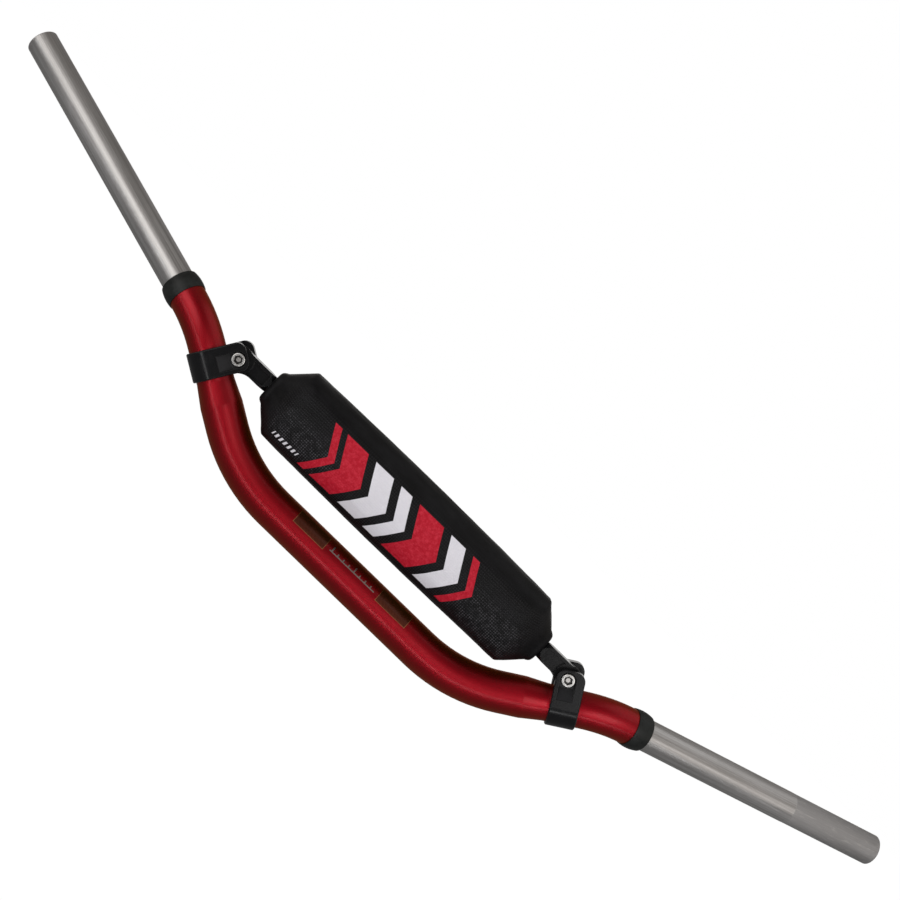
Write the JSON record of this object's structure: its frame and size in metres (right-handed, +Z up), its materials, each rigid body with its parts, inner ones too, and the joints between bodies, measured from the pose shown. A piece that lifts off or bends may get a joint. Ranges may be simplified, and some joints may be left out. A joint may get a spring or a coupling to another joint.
{
  "type": "motocross handlebar",
  "caption": "Bent twin-wall motocross handlebar with a clamped crossbar that carries a wrapped foam chest pad.",
  "frame": {"origin": "centre of the straight middle stretch of the bar, on its axis, where the fork clamps hold it", "axes": "+X along the bar to the clutch end, +Y back to the rider, +Z up, so that the front of the bar faces -Y"},
  "size_m": [0.8264, 0.1245, 0.1358],
  "materials": {
    "red_anodised": "satin",
    "bare_aluminium": "satin",
    "black_rubber": "satin",
    "black_forging": "gloss",
    "zinc_steel": "gloss",
    "pad_foam": "matte",
    "pad_vinyl": "satin",
    "touch_fastener": "matte"
  },
  "bodies": {
    "root": {"outer_tube": "red_anodised", "inner_tube": "bare_aluminium", "throttle_collar": "black_rubber", "clutch_collar": "black_rubber", "throttle_end_plug": "black_rubber", "clutch_end_plug": "black_rubber", "throttle_clamp": "black_forging", "clutch_clamp": "black_forging", "throttle_clamp_bolt": "zinc_steel", "clutch_clamp_bolt": "zinc_steel", "crossbar_tube": "black_forging", "throttle_lug": "black_forging", "clutch_lug": "black_forging", "pad_foam": "pad_foam", "pad_cover": "pad_vinyl", "pad_loop_tape": "touch_fastener", "pad_hook_tape": "touch_fastener"}
  },
  "joints": []
}
